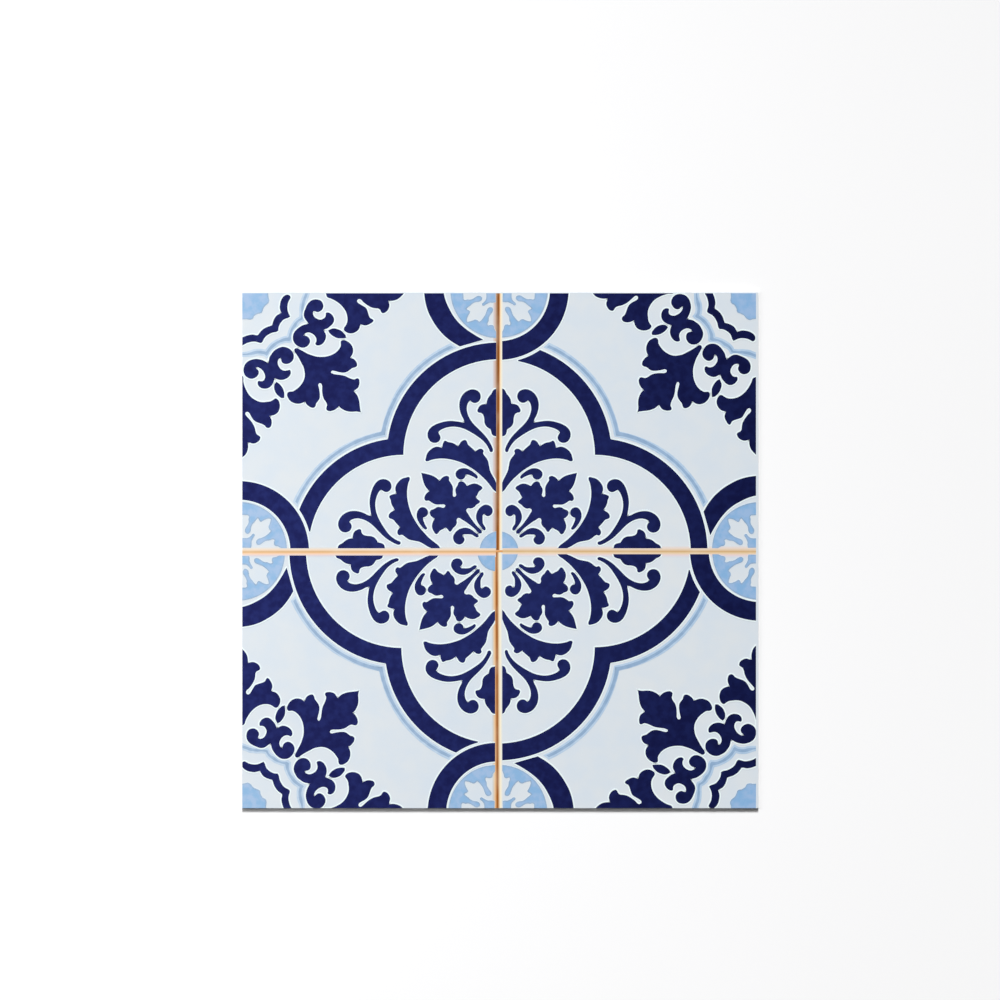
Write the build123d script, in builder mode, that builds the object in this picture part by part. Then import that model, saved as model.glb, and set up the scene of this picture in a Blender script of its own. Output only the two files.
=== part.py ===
"""Self-adhesive vinyl tile: one square of printed vinyl sheet, cut to size.

The tile lies on its adhesive back with the printed face up. The origin is the
middle of the adhesive back, +Z points out of the printed face and +Y towards
the top edge of the print. All sizes are in millimetres.
"""

import os

from build123d import *

# Driving dimensions
TILE_SIDE = 200.0
TILE_THICKNESS = 0.8  # vinyl, adhesive and release paper together, as sold
CORNER_RADIUS = 0.4  # the cutting die's corner
EDGE_ROLL = 0.1  # the printed edge, rounded over where the die presses down

with BuildPart() as vinyl_tile:
    with BuildSketch(Plane.XY) as sheet_outline:
        RectangleRounded(TILE_SIDE, TILE_SIDE, CORNER_RADIUS)
    extrude(amount=TILE_THICKNESS)
    printed_face = vinyl_tile.faces().sort_by(Axis.Z)[-1]
    fillet(printed_face.edges(), EDGE_ROLL)

vinyl_tile.part.label = "vinyl_tile"

os.makedirs("parts", exist_ok=True)
export_step(vinyl_tile.part, "parts/vinyl_tile.step")
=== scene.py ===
"""Looks for the self-adhesive vinyl tile: its printed face, its finish and a plain studio.

The sheet is the CAD node. The print on it is built here as thin films of ink. One quarter of the print, a
cell, is drawn as outlines and turned four times about the middle of the print. Outlines are in print units:
a print unit is a two-hundredth of the print's side, x and y run from the middle of the print.
"""

import math

import bmesh
import bpy
from bpy.props import FloatProperty, FloatVectorProperty, PointerProperty
from mathutils import Matrix, Vector


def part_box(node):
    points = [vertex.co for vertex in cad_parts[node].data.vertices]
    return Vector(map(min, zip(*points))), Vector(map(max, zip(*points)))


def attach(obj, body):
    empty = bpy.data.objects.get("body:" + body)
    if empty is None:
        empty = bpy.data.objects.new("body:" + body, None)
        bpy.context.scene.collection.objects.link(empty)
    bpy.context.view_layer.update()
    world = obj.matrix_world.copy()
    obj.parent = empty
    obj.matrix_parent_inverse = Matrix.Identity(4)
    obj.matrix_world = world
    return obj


bl_info = {
    "name": "Self-adhesive vinyl tile",
    "version": (1, 0, 0),
    "blender": (4, 5, 0),
    "location": "View3D > Sidebar > Vinyl Tile",
    "description": "Prints and finishes a square self-adhesive vinyl tile, and sets a studio round it",
    "category": "Object",
}

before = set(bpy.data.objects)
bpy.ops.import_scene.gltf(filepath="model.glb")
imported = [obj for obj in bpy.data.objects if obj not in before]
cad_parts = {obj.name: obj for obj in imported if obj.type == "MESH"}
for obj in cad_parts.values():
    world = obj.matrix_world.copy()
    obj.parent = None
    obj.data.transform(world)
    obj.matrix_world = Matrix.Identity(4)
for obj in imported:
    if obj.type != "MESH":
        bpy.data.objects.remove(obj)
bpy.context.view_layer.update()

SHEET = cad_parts["vinyl_tile"]
SHEET_LOW, SHEET_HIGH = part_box("vinyl_tile")
SIDE = SHEET_HIGH.x - SHEET_LOW.x
FACE = SHEET_HIGH.z

# Print units in the tile's side: the print is a little smaller than the tile
UNITS_ACROSS = 200.35
UNIT = SIDE / UNITS_ACROSS

# Where the photograph shows the tile, in pixels of a picture 1000 pixels square
PICTURE_PIXELS = 1000.0
TILE_PIXELS = 516.4
TILE_CENTRE_PIXELS = (500.25, 550.2)

# How each printed cell lies, in print units, from the upper right cell, turning left: its shift off the grid,
# its stretch, and how far its own two edges stand from the joints' grid lines
CELL_PLACES = (
    ((0.24, -0.13), (0.998, 0.999), (1.43, 1.22)),
    ((0.32, -0.02), (0.993, 0.996), (1.11, 1.24)),
    ((-0.46, -0.42), (0.993, 0.998), (0.87, 1.56)),
    ((0.02, 0.04), (1.002, 1.003), (1.51, 1.65)),
)

# Where a cell's inks are drawn to stop short of the joints, where the pale inks and the white edges are cut
# off, and how far into the cell its edges are drawn in, in print units
CELL_EDGE = 1.2
PALE_EDGE = 1.1
WHITE_CUT = 1.1
EDGE_REACH = 3.0

# How the joints lie, in print units: a piece, the share of its width that fades into the ground on each side,
# its turn in degrees, and its two ends. An end is a place across and along the joint's way, and a width.
# A level joint's way runs left. The level joints stop at the two sides of the upright ones, and the
# crossing lies between them.
JOINT_REACH = 102.0
LEFT_SIDE = 0.9
RIGHT_SIDE = -1.7
JOINTS = (
    ("upper_joint", 0.16, 0.0, (-0.2, 0.0, 4.4), (0.05, JOINT_REACH, 4.4)),
    ("lower_joint", 0.16, 0.0, (-0.27, -JOINT_REACH, 4.4), (-0.62, 0.0, 4.4)),
    ("left_joint", 0.16, 90.0, (-0.38, LEFT_SIDE, 4.0), (-0.5, JOINT_REACH, 4.0)),
    ("right_joint", 0.16, 90.0, (-0.36, -JOINT_REACH, 4.6), (-0.2, RIGHT_SIDE, 4.0)),
    ("joint_crossing", 0.02, 90.0, (-0.2, RIGHT_SIDE, 0.9), (-0.2, LEFT_SIDE, 0.9)),
)

# Shades across the joints, from the left or from below, set by comparing renders with the photograph: a place
# from 0 to 1, then a colour on screen or the name of one of the print's colours
JOINT_SHADES = {
    # A rosy shade, the dark core, then a cream light
    "upper_joint": (
        (0.17, 214, 196, 193), (0.26, 209, 179, 165), (0.35, 180, 138, 108), (0.45, 147, 96, 54),
        (0.5, "grout"), (0.54, "grout"),
        (0.61, 202, 134, 72), (0.69, 254, 226, 188), (0.79, "grout_cream"), (0.88, 233, 233, 230),
    ),
    # A peach shade, the core, then a cream light
    "lower_joint": (
        (0.12, 207, 209, 205), (0.2, 226, 208, 186), (0.29, 240, 198, 153), (0.38, 216, 157, 102),
        (0.47, "grout_warm"), (0.55, "grout_warm"),
        (0.64, 222, 186, 145), (0.73, 253, 236, 206), (0.82, "grout_cream"), (0.91, 238, 235, 224),
    ),
    # Rose, peach, the golden core, then cream
    "left_joint": (
        (0.13, 223, 210, 216), (0.22, 240, 216, 209), (0.32, 248, 211, 180), (0.43, 243, 196, 148),
        (0.5, "grout_light"),
        (0.57, 236, 196, 154), (0.68, 241, 216, 189), (0.77, 242, 225, 209), (0.87, 231, 226, 218),
    ),
    # Rose, cream, the golden core, then rose again
    "right_joint": (
        (0.13, 232, 216, 222), (0.22, 238, 216, 210), (0.32, 240, 213, 182), (0.43, 230, 201, 155),
        (0.5, "grout_light"),
        (0.57, 227, 196, 157), (0.68, 234, 212, 187), (0.77, 238, 220, 207), (0.87, 236, 222, 216),
    ),
    # The level core where it crosses the upright joints
    "joint_crossing": (
        (0.0, 205, 140, 75), (0.4, 228, 160, 94), (0.7, 238, 175, 118), (1.0, 222, 172, 136),
    ),
}

# Two tones of each pale ink, by the names of the print's colours
PALE_TONES = {
    "pale_blue_print": ("pale", "pale_violet"),
    "slate_print": ("slate", "slate_light"),
    "haze_print": ("haze", "haze_light"),
}

# Mottles: the scale of the noise, its detail, and the noise values that become 0 and 1
GROUND_PATCHES = (130.0, 3.0, 0.3, 0.7)
GROUND_CLOUD = (22.0, 2.0, 0.3, 0.7)
PAPER_FIBRES = (900.0, 4.0, 0.35, 0.65)
WHITE_PATCHES = (260.0, 2.0, 0.3, 0.7)
COBALT_STROKES = (380.0, 4.0, 0.32, 0.72)
PALE_WASH = (330.0, 3.0, 0.35, 0.65)
JOINT_WEAR = (75.0, 3.0, 0.42, 0.75)
GLOSS_SMEARS = (35.0, 3.0, 0.3, 0.7)
FLOOR_CLOUD = (3.0, 2.0, 0.3, 0.7)

# How red, green and blue are scaled in patches of the ground, in shade, and at the right of the tile, where
# painted shade darkens the inks
GROUND_COOLER = (0.955, 0.985, 1.01)
GROUND_WARMER = (1.03, 1.015, 0.985)
PAPER_SHADE = (0.93, 0.93, 0.93)
FLOOR_SHADE = (0.985, 0.985, 0.985)
COBALT_RIGHT_PAINTED_SHADE = (0.4, 0.45, 0.5)
PALE_RIGHT_PAINTED_SHADE = (0.85, 0.92, 0.98)

# Shares: of the patches in the ground, of the white in thin white ink, of the strokes and of the fading in
# the light cobalt, and of the wear on a joint. The fading ends at a distance from the tile's middle.
PATCHES_SHARE = 0.6
WHITE_SHARE = 0.85
STROKES_SHARE = 0.6
FADING_SHARE = 0.7
WEAR_SHARE = 0.2
FADING_END = 0.44 * SIDE

# Heights between which the release paper gives way to bare vinyl, and bare vinyl to the printed ground
PAPER_TOP = (0.05 * FACE, 0.1 * FACE)
GROUND_FOOT = (FACE - 0.00006, FACE - 0.00001)

# The satin face: the scale and detail of its grain, how strong and deep the grain is, its roughness, how much
# rougher the smears are, and its sheen. Then the floor's roughness and sheen.
GRAIN_SCALE = 2600.0
GRAIN_DETAIL = 2.0
GRAIN_STRENGTH = 0.05
GRAIN_DEPTH = 0.00005
FACE_ROUGHNESS = 0.36
SMEAR_ROUGHNESS = 0.1
FACE_SHEEN = 0.12
FLOOR_ROUGHNESS = 0.8
FLOOR_SHEEN = 0.1

# How much light the studio throws on the middle of the tile, where a white surface at 1 would just be white
STUDIO_LIGHT = 1.12

# How high the far light stands and how wide it looks, where the softbox hangs and how wide it is, in metres,
# and the camera's sensor in millimetres and how far it sees
SUN_RISE = math.radians(26.5)
SUN_WIDTH = math.radians(14.0)
KEY_PLACE = (-0.45, 0.12, 0.3)
KEY_SIDE = 0.3
SENSOR = 36.0
SIGHT = 100.0

# Steps in each stretch of a curve and along a joint, the longest stretch of an arc, and the least by which a
# corner's push outwards is divided, so that sharp corners stay short
CURVE_STEPS = 7
JOINT_STEPS = 8
ARC_STEP = math.radians(30.0)
SHARPEST = 0.5

# Print units or metres within which points count as one
TOUCHING = 1e-6

QUARTER = math.radians(90.0)
CORNER = "VECTOR"
SMOOTH = "AUTO"
BAKE_MAP = "OFBake"
ACROSS = "across"


def screen(red, green, blue):
    """The ink's own colour, for a colour as the studio's light shows it on a screen, from 0 to 255."""
    shares = (red / 255.0, green / 255.0, blue / 255.0)
    lights = [s / 12.92 if s <= 0.04045 else ((s + 0.055) / 1.055) ** 2.4 for s in shares]
    return tuple(light / STUDIO_LIGHT for light in lights)


def size_property(name, description, default):
    """A length that a user may change."""
    return FloatProperty(
        name=name, description=description, default=default, precision=5, subtype="DISTANCE", unit="LENGTH"
    )


def colour_property(name, description, default):
    """A colour that a user may change."""
    return FloatVectorProperty(
        name=name, description=description, default=default, min=0.0, max=1.0, size=3, subtype="COLOR"
    )


class PrintSizes(bpy.types.PropertyGroup):
    """Sizes of the print."""

    upright_joint: size_property("Upright joint", "Thickness of the ink of the upright joints", 0.000006)
    level_joint: size_property("Level joint", "Thickness of the ink of the level joints", 0.000012)
    pale_bed: size_property("Pale bed", "Thickness of the white or hazy ink beside the pale blue", 0.000016)
    pale_ink: size_property("Pale ink", "Thickness of the pale blue ink", 0.00002)
    pale_rim: size_property("Pale rim", "Thickness of the greyer rim on the pale blue ink", 0.000024)
    white_ink: size_property("White ink", "Thickness of the white ink round the cobalt", 0.00003)
    cobalt_ink: size_property("Cobalt ink", "Thickness of the cobalt ink", 0.000036)
    white_edge: size_property("White edge", "How far the white ink shows round the cobalt", 0.5 * UNIT)
    pale_edge: size_property("Pale edge", "How far the white ink shows round the pale blue", 0.3 * UNIT)
    rim_half: size_property("Rim half width", "Half the width of the pale blue's greyer rim", 0.24 * UNIT)
    haze: size_property("Haze", "How far the haze reaches past the outlines of the thin lines", 0.4 * UNIT)
    haze_inset: size_property("Haze inset", "How far the thin lines stay inside their outlines", 0.35 * UNIT)
    register: size_property("Register", "How far right of the cobalt the thin lines are printed", 0.38 * UNIT)
    ink_spread: size_property("Ink spread", "How far the cobalt ink spreads past its outlines", 0.13 * UNIT)
    shift_x: size_property("Print shift X", "How far right of the middle the print lies", -0.794 * UNIT)
    shift_y: size_property("Print shift Y", "How far above the middle the print lies", -0.194 * UNIT)
    bare_edge: size_property("Bare edge", "Width of the rolled edge, which has no ink", 0.0001)
    bare_right: size_property("Bare right", "Width of the bare border at the right edge", 0.00095)
    bare_top: size_property("Bare top", "Width of the bare border at the top edge", 0.0005)
    lobe_centre: size_property("Lobe centre", "From the middle of the print to a lobe's middle", 37.2 * UNIT)
    strap_inner: size_property("Strap inner radius", "Inner radius of the strap round a lobe", 37.49 * UNIT)
    strap_outer: size_property("Strap outer radius", "Outer radius of the strap round a lobe", 43.78 * UNIT)
    line_inner: size_property("Pale line inner radius", "Inner radius of the pale line", 45.5 * UNIT)
    line_outer: size_property("Pale line outer radius", "Outer radius of the pale line", 47.3 * UNIT)
    ring_centre: size_property("Ring centre", "From the middle of the print to a ring's middle", 101.4 * UNIT)
    ring_inner: size_property("Ring inner radius", "Inner radius of the strap round a ring", 19.97 * UNIT)
    ring_outer: size_property("Ring outer radius", "Outer radius of the strap round a ring", 27.0 * UNIT)
    ring_gap: size_property("Ring gap radius", "Where the lobes stop short of a ring", 28.4 * UNIT)
    medallion: size_property("Medallion radius", "Radius of the pale medallion in a ring", 18.3 * UNIT)
    centre_disc: size_property("Centre disc radius", "Radius of the pale disc in the middle", 7.4 * UNIT)


class PrintColours(bpy.types.PropertyGroup):
    """Colours of the sheet and its inks."""

    ground: colour_property("Ground", "White glaze ground of the print", screen(223, 230, 237))
    cut_edge: colour_property("Cut edge", "Bare vinyl at the cut edge", screen(240, 241, 242))
    release_paper: colour_property("Release paper", "Paper on the adhesive back", screen(226, 220, 204))
    white: colour_property("White edge", "White ink that edges the inks", screen(241, 254, 255))
    cobalt: colour_property("Cobalt", "Main tone of the cobalt ink", screen(30, 34, 88))
    cobalt_light: colour_property("Light cobalt", "Lighter patches of the cobalt ink", screen(44, 53, 117))
    pale: colour_property("Pale blue", "Main tone of the pale blue ink", screen(150, 189, 226))
    pale_violet: colour_property("Pale violet", "Warmer patches of the pale blue ink", screen(171, 197, 229))
    slate: colour_property("Slate", "Rims and thin lines of the pale blue ink", screen(155, 180, 208))
    slate_light: colour_property("Light slate", "Lighter patches of the thin lines", screen(166, 190, 217))
    haze: colour_property("Haze", "Soft edges of the thin lines", screen(190, 211, 232))
    haze_light: colour_property("Light haze", "Lighter patches of the soft edges", screen(204, 221, 237))
    grout: colour_property("Grout", "Core of the upper printed joint", screen(135, 73, 22))
    grout_warm: colour_property("Warm grout", "Core of the lower printed joint", screen(162, 96, 42))
    grout_light: colour_property("Light grout", "Core of the level printed joints", screen(213, 172, 123))
    grout_cream: colour_property("Cream grout", "Light side of the printed joints", screen(251, 243, 220))


class StudioSizes(bpy.types.PropertyGroup):
    """Sizes and lights of the studio."""

    camera_height: size_property("Camera height", "Height of the camera over the printed face", 1.5)
    floor_side: size_property("Floor side", "Side of the square floor", 12.0)
    floor: colour_property("Floor", "Colour of the floor", (0.94, 0.94, 0.945))
    sky_power: FloatProperty(name="Sky power", description="Strength of the even light", default=0.06)
    sun_power: FloatProperty(name="Sun power", description="Strength of the far light", default=6.02)
    key_power: FloatProperty(name="Key power", description="Power of the left light in watts", default=1.147)


class Wire:
    """A socket of a material, or the material itself before its first socket."""

    def __init__(self, tree, socket=None):
        self.tree = tree
        self.socket = socket

    def node(self, kind, settings=(), inputs=(), output=0):
        """Adds a node, sets it, then sets or joins its inputs, and returns one of its outputs."""
        made = self.tree.nodes.new(kind)
        for name, value in dict(settings).items():
            if name == "stops":
                set_stops(made.color_ramp, value)
            else:
                setattr(made, name, value)
        for name, value in dict(inputs).items():
            if isinstance(value, Wire):
                self.tree.links.new(value.socket, made.inputs[name])
            else:
                made.inputs[name].default_value = value
        return Wire(self.tree, made.outputs[output] if made.outputs else None)

    def maths(self, operation, first, second=0.0):
        """Adds a Math node."""
        return self.node("ShaderNodeMath", {"operation": operation}, {0: first, 1: second})

    def __add__(self, other):
        return self.maths("ADD", self, other)

    def __sub__(self, other):
        return self.maths("SUBTRACT", self, other)

    def __mul__(self, other):
        return self.maths("MULTIPLY", self, other)


def set_stops(ramp, stops):
    """Gives a colour ramp its stops: pairs of a place from 0 to 1 and a colour."""
    while len(ramp.elements) < len(stops):
        ramp.elements.new(1.0)
    for element, (place, colour) in zip(ramp.elements, stops):
        element.position = place
        element.color = (*colour, 1.0)


def new_finish(name):
    """A new material, and the wire of the place on the object."""
    material = bpy.data.materials.new(name)
    material.use_nodes = True
    material.node_tree.nodes.clear()
    return material, Wire(material.node_tree).node("ShaderNodeTexCoord", (), (), "Object")


def place_along(place, axis):
    """The place along one axis."""
    return place.node("ShaderNodeSeparateXYZ", (), {0: place}, axis)


def scaled(colour, shares):
    """A colour with each of its three parts scaled by a share."""
    return [tone * share for tone, share in zip(colour, shares)]


def ranged(value, low, high, settings=()):
    """A wire stretched to run from 0 to 1 between two of its values."""
    return value.node("ShaderNodeMapRange", settings, {"Value": value, "From Min": low, "From Max": high})


def mixed(share, *colours):
    """Two colours, or wires of colours, mixed by a share, which is a wire."""
    first, second = [colour if isinstance(colour, Wire) else (*colour, 1.0) for colour in colours]
    settings = {"data_type": "RGBA", "clamp_factor": True}
    return share.node("ShaderNodeMix", settings, {0: share, 6: first, 7: second}, 2)


def mottle(place, kind):
    """Soft patches of noise, from 0 to 1."""
    scale, detail, low, high = kind
    noise = place.node("ShaderNodeTexNoise", (), {"Vector": place, "Scale": scale, "Detail": detail})
    return ranged(noise, low, high, {"interpolation_type": "SMOOTHSTEP"})


def with_painted_right_shade(place, share, first, second, right):
    """Two colours mixed by a share, both scaled little by little towards the right of the tile as painted
    shade.
    """
    left_colour = mixed(share, first, second)
    shaded_right_colour = mixed(share, scaled(first, right), scaled(second, right))
    return mixed(ranged(place_along(place, "X"), -SIDE / 2, SIDE / 2), left_colour, shaded_right_colour)


def close(place, inputs):
    """Closes a material with one shader."""
    face = place.node("ShaderNodeBsdfPrincipled", (), inputs, "BSDF")
    place.node("ShaderNodeOutputMaterial", (), {"Surface": face})


def satin(place, colour):
    """Closes a material with the satin face of printed vinyl: fine grain and an uneven gloss."""
    noise = {"Vector": place, "Scale": GRAIN_SCALE, "Detail": GRAIN_DETAIL}
    grain = place.node("ShaderNodeTexNoise", (), noise)
    bumps = {"Strength": GRAIN_STRENGTH, "Distance": GRAIN_DEPTH, "Height": grain}
    inputs = {
        "Base Color": colour,
        "Roughness": mottle(place, GLOSS_SMEARS) * SMEAR_ROUGHNESS + FACE_ROUGHNESS,
        "Specular IOR Level": FACE_SHEEN,
        "Normal": place.node("ShaderNodeBump", (), bumps, "Normal"),
    }
    close(place, inputs)


def ground_colour(place, colours):
    """The white glaze ground of the print, a little cooler and warmer in patches."""
    patches = mottle(place, GROUND_PATCHES) * PATCHES_SHARE
    share = patches + mottle(place, GROUND_CLOUD) * (1.0 - PATCHES_SHARE)
    return mixed(share, scaled(colours.ground, GROUND_COOLER), scaled(colours.ground, GROUND_WARMER))


def sheet_finish(colours):
    """Printed white ground above, bare vinyl at the cut edge, release paper below."""
    material, place = new_finish("printed_vinyl")
    height = place_along(place, "Z")
    paper_shade = scaled(colours.release_paper, PAPER_SHADE)
    paper = mixed(mottle(place, PAPER_FIBRES), paper_shade, colours.release_paper)
    vinyl = mixed(ranged(height, *GROUND_FOOT), colours.cut_edge, ground_colour(place, colours))
    satin(place, mixed(ranged(height, *PAPER_TOP), paper, vinyl))
    return material


def white_finish(name, colours):
    """White ink, which lets a little of the ground through in patches."""
    material, place = new_finish(name)
    thin = Vector(colours.ground).lerp(Vector(colours.white), WHITE_SHARE)
    satin(place, mixed(mottle(place, WHITE_PATCHES), thin, colours.white))
    return material


def cobalt_finish(name, colours):
    """Cobalt ink: brush-like patches of lighter blue, deeper away from the middle, and deeper to the right as
    painted shade.
    """
    material, place = new_finish(name)
    away = place.node("ShaderNodeVectorMath", {"operation": "LENGTH"}, {0: place}, "Value")
    fading = ranged(away, FADING_END, 0.0) * FADING_SHARE
    share = mottle(place, COBALT_STROKES) * STROKES_SHARE + fading
    satin(place, with_painted_right_shade(place, share, colours.cobalt, colours.cobalt_light, COBALT_RIGHT_PAINTED_SHADE))
    return material


def pale_finish(name, colours):
    """A pale blue ink, washed unevenly, a little deeper towards the right of the print as painted shade."""
    material, place = new_finish(name)
    main, patch = [getattr(colours, tone) for tone in PALE_TONES[name]]
    satin(place, with_painted_right_shade(place, mottle(place, PALE_WASH), main, patch, PALE_RIGHT_PAINTED_SHADE))
    return material


def joint_finish(name, stops, border, colours):
    """A printed joint: colours across its width, worn lighter here and there, fading into the ground."""
    material, place = new_finish(name)
    across = place.node("ShaderNodeAttribute", {"attribute_name": ACROSS}, (), "Fac")
    line = place.node("ShaderNodeValToRGB", {"stops": stops}, {"Fac": across}, "Color")
    worn = mixed(mottle(place, JOINT_WEAR) * WEAR_SHARE, line, colours.grout_cream)
    aside = place.maths("ABSOLUTE", across - 0.5)
    satin(place, mixed(ranged(aside, 0.5, 0.5 - border), ground_colour(place, colours), worn))
    return material


class Outline:
    """A closed line of smooth points, corners and arcs, in print units."""

    def __init__(self, knots=()):
        self.knots = list(knots)

    def smooth(self, *points):
        """Points that the line runs through smoothly."""
        self.knots += [(Vector(point), SMOOTH, SMOOTH) for point in points]
        return self

    def corner(self, *points):
        """Points where the line turns sharply."""
        self.knots += [(Vector(point), CORNER, CORNER) for point in points]
        return self

    def arc(self, centre, radius, start, end):
        """A round stretch from one angle to another, with a corner at each end."""
        count = max(1, math.ceil(abs(end - start) / ARC_STEP))
        step = (end - start) / count
        reach = 4.0 / 3.0 * math.tan(step / 4.0) * radius
        for number in range(count + 1):
            angle = start + step * number
            outward = Vector((math.cos(angle), math.sin(angle)))
            ahead = Vector((-outward.y, outward.x)) * reach
            point = Vector(centre) + outward * radius
            before = point - ahead if number else CORNER
            after = point + ahead if number < count else CORNER
            self.knots.append((point, before, after))
        return self

    def mirrored(self):
        """The same line on the other side of the cell's diagonal."""
        backwards = reversed(self.knots)
        return Outline((point.yx, flipped(after), flipped(before)) for point, before, after in backwards)

    def folded(self):
        """The line joined to its mirror image across the diagonal."""
        far_side = [knot for knot in self.mirrored().knots if abs(knot[0].x - knot[0].y) > TOUCHING]
        return Outline(self.knots + far_side)

    def spread(self, amount):
        """The same line pushed outwards all round, as ink spreads."""
        points = [knot[0] for knot in self.knots]
        turning = sum(first.cross(second) for first, second in zip(points, points[1:] + points[:1]))
        side = 1.0 if turning > 0.0 else -1.0
        wider = Outline()
        for number, (point, before, after) in enumerate(self.knots):
            arriving = (point - points[number - 1]).normalized()
            leaving = (points[(number + 1) % len(points)] - point).normalized()
            outward = Vector((arriving.y + leaving.y, -arriving.x - leaving.x)) * side
            shift = outward * (amount / max(1.0 + arriving.dot(leaving), SHARPEST))
            wider.knots.append((point + shift, moved(before, shift), moved(after, shift)))
        return wider


def flipped(handle):
    """A handle on the other side of the cell's diagonal."""
    return handle.yx if isinstance(handle, Vector) else handle


def moved(handle, shift):
    """A handle moved along with its point."""
    return handle + shift if isinstance(handle, Vector) else handle


def outline_curve(outline):
    """An outline as a closed flat curve, in print units."""
    curve = bpy.data.curves.new("outline", "CURVE")
    curve.dimensions = "2D"
    curve.fill_mode = "BOTH"
    curve.resolution_u = CURVE_STEPS
    spline = curve.splines.new("BEZIER")
    spline.bezier_points.add(len(outline.knots) - 1)
    spline.use_cyclic_u = True
    spline.use_smooth = False
    for place, (point, before, after) in zip(spline.bezier_points, outline.knots):
        place.co = (*point, 0.0)
        place.handle_left_type = "FREE" if isinstance(before, Vector) else before
        place.handle_right_type = "FREE" if isinstance(after, Vector) else after
    for place, (point, before, after) in zip(spline.bezier_points, outline.knots):
        if isinstance(before, Vector):
            place.handle_left = (*before, 0.0)
        if isinstance(after, Vector):
            place.handle_right = (*after, 0.0)
    return curve


def lie_flat(curve, half_width):
    """Turns a closed curve into a flat ribbon along its line."""
    curve.dimensions = "3D"
    curve.twist_mode = "Z_UP"
    curve.extrude = half_width
    for place in curve.splines[0].bezier_points:
        place.tilt = QUARTER


def add_curve(shape, curve):
    """Adds a curve's faces to a shape and removes the curve."""
    holder = bpy.data.objects.new("outline", curve)
    mesh = bpy.data.meshes.new_from_object(holder)
    shape.from_mesh(mesh)
    bpy.data.meshes.remove(mesh)
    bpy.data.objects.remove(holder)
    bpy.data.curves.remove(curve)


def whole(shape):
    """Every vertex, edge and face of a shape."""
    return shape.verts[:] + shape.edges[:] + shape.faces[:]


def only_points(parts):
    """The vertices among parts of a shape."""
    return [part for part in parts if isinstance(part, bmesh.types.BMVert)]


def cut_off(shape, point, outward):
    """Cuts away what lies beyond a line."""
    bmesh.ops.bisect_plane(
        shape, geom=whole(shape), dist=TOUCHING, plane_co=point, plane_no=outward, clear_outer=True
    )


def cell_shape(outlines, edge, ribbon):
    """The outlines of one cell, filled flat or as ribbons, cut at the cell's edges, in print units."""
    shape = bmesh.new()
    for outline in outlines:
        curve = outline_curve(outline)
        if ribbon:
            lie_flat(curve, ribbon)
        add_curve(shape, curve)
    cut_off(shape, (edge, 0.0, 0.0), (-1.0, 0.0, 0.0))
    cut_off(shape, (0.0, edge, 0.0), (0.0, -1.0, 0.0))
    return shape


def set_edges(points, edges):
    """Moves a cell's two edges along the joints from where they are drawn to where they are printed."""
    for point in points:
        for axis, edge in enumerate(edges):
            nearness = (EDGE_REACH - point.co[axis]) / (EDGE_REACH - CELL_EDGE)
            point.co[axis] += (edge - CELL_EDGE) * min(max(nearness, 0.0), 1.0)


def repeat_cell(shape):
    """Turns a cell to its four places round the middle of the print."""
    first = whole(shape)
    for number, (shift, stretch, edges) in enumerate(CELL_PLACES):
        points = only_points(bmesh.ops.duplicate(shape, geom=first)["geom"])
        set_edges(points, edges)
        turn = Matrix.Rotation(QUARTER * number, 3, "Z")
        bmesh.ops.rotate(shape, cent=(0.0, 0.0, 0.0), matrix=turn, verts=points)
        bmesh.ops.scale(shape, vec=(*stretch, 1.0), verts=points)
        bmesh.ops.translate(shape, vec=(*shift, 0.0), verts=points)
    bmesh.ops.delete(shape, geom=only_points(first), context="VERTS")


def lay_on_face(shape, sizes, thickness):
    """Moves a flat shape from print units to the face, trims it at the print's border and thickens it."""
    bmesh.ops.scale(shape, vec=(UNIT, UNIT, UNIT), verts=shape.verts)
    bmesh.ops.translate(shape, vec=(sizes.shift_x, sizes.shift_y, 0.0), verts=shape.verts)
    for outward, bare in (
        ((1, 0, 0), sizes.bare_right),
        ((-1, 0, 0), sizes.bare_edge),
        ((0, 1, 0), sizes.bare_top),
        ((0, -1, 0), sizes.bare_edge),
    ):
        cut_off(shape, Vector(outward) * (SIDE / 2 - bare), outward)
    bmesh.ops.translate(shape, vec=(0.0, 0.0, FACE), verts=shape.verts)
    raised = bmesh.ops.extrude_face_region(shape, geom=shape.faces[:], use_keep_orig=True)
    bmesh.ops.translate(shape, vec=(0.0, 0.0, thickness), verts=only_points(raised["geom"]))
    bmesh.ops.recalc_face_normals(shape, faces=shape.faces)


def lay_out_map(shape):
    """Lays the bake map over the whole tile, seen from above."""
    layer = shape.loops.layers.uv.new(BAKE_MAP)
    for face in shape.faces:
        for loop in face.loops:
            loop[layer].uv = (loop.vert.co.x / SIDE + 0.5, loop.vert.co.y / SIDE + 0.5)


def new_object(shape, name, material):
    """Turns a finished shape into an object in the scene."""
    mesh = bpy.data.meshes.new(name)
    shape.to_mesh(mesh)
    shape.free()
    mesh.materials.append(material)
    thing = bpy.data.objects.new(name, mesh)
    bpy.context.scene.collection.objects.link(thing)
    return thing


def make_piece(shape, name, material):
    """Turns a finished shape into a piece that rides on the tile."""
    lay_out_map(shape)
    piece = new_object(shape, name, material)
    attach(piece, "root")


# The maker of each ink's finish, the ink's slot, and where a cell of it is cut off at the joints
INKS = {
    "white_print": (white_finish, "printed_vinyl", WHITE_CUT),
    "cobalt_print": (cobalt_finish, "cobalt_print", 0.0),
    "pale_blue_print": (pale_finish, "pale_blue_print", PALE_EDGE),
    "slate_print": (pale_finish, "pale_blue_print", PALE_EDGE),
    "haze_print": (pale_finish, "pale_blue_print", PALE_EDGE),
}


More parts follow.
